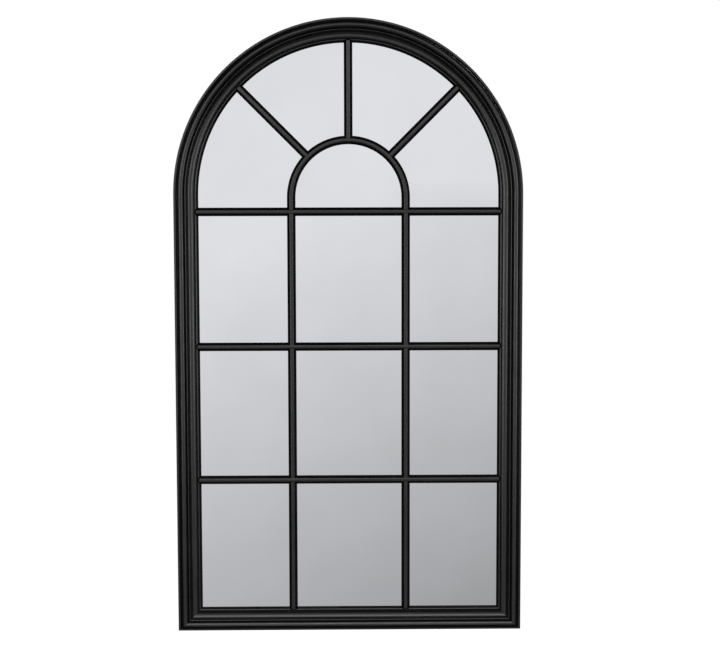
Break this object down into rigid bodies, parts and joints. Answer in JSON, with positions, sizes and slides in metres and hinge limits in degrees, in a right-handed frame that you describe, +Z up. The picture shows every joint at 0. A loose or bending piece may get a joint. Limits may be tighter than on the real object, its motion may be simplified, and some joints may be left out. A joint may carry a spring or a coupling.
{
  "type": "arched window mirror",
  "caption": "Tall round-arched wall mirror with a black moulded timber frame and applied glazing bars that divide it like a fanlight window",
  "frame": {"origin": "middle of the bottom edge, in the plane of the flat back of the frame, 5 mm below the point of mount rear_face", "axes": "+X to the viewer's right seen from the front, +Y from the front towards the wall, +Z up"},
  "size_m": [0.75, 0.0359, 1.327],
  "materials": {
    "black_painted_timber": "satin black paint on moulded timber, fine open pores showing through, a little rubbed at the arrises",
    "silvered_mirror": "clear float glass, silvered on its back",
    "fibreboard": "raw medium density fibreboard, unpainted",
    "zinc_plated_steel": "bright zinc plating, slightly dulled",
    "black_rubber": "matt moulded rubber"
  },
  "bodies": {
    "mirror": {"bottom_rail": "black_painted_timber", "left_stile": "black_painted_timber", "right_stile": "black_painted_timber", "left_haunch": "black_painted_timber", "arch_crown": "black_painted_timber", "right_haunch": "black_painted_timber", "transom_lower": "black_painted_timber", "transom_middle": "black_painted_timber", "transom_upper": "black_painted_timber", "mullion_left_lower": "black_painted_timber", "mullion_left_middle": "black_painted_timber", "mullion_left_upper": "black_painted_timber", "mullion_right_lower": "black_painted_timber", "mullion_right_middle": "black_painted_timber", "mullion_right_upper": "black_painted_timber", "fan_arch": "black_painted_timber", "fan_bar_left": "black_painted_timber", "fan_bar_centre": "black_painted_timber", "fan_bar_right": "black_painted_timber", "mirror_glass": "silvered_mirror", "backing_board": "fibreboard", "board_screw_01": "zinc_plated_steel", "board_screw_02": "zinc_plated_steel", "board_screw_03": "zinc_plated_steel", "board_screw_04": "zinc_plated_steel", "board_screw_05": "zinc_plated_steel", "board_screw_06": "zinc_plated_steel", "board_screw_07": "zinc_plated_steel", "board_screw_08": "zinc_plated_steel", "board_screw_09": "zinc_plated_steel", "board_screw_10": "zinc_plated_steel", "board_screw_11": "zinc_plated_steel", "board_screw_12": "zinc_plated_steel", "board_screw_13": "zinc_plated_steel", "board_screw_14": "zinc_plated_steel", "left_hanger_strap": "zinc_plated_steel", "left_hanger_screw_1": "zinc_plated_steel", "left_hanger_screw_2": "zinc_plated_steel", "left_wall_bumper": "black_rubber", "right_hanger_strap": "zinc_plated_steel", "right_hanger_screw_1": "zinc_plated_steel", "right_hanger_screw_2": "zinc_plated_steel", "right_wall_bumper": "black_rubber"},
    "left_ring": {"left_hanger_ring": "zinc_plated_steel"},
    "right_ring": {"right_hanger_ring": "zinc_plated_steel"}
  },
  "joints": [
    {"name": "left_ring_swing", "type": "hinge", "parent": "mirror", "child": "left_ring", "pos_m": [-0.357, 0.00275, 0.9], "axis": [1, 0, 0], "range_deg": [0, 180]},
    {"name": "right_ring_swing", "type": "hinge", "parent": "mirror", "child": "right_ring", "pos_m": [0.357, 0.00275, 0.9], "axis": [1, 0, 0], "range_deg": [0, 180]}
  ]
}
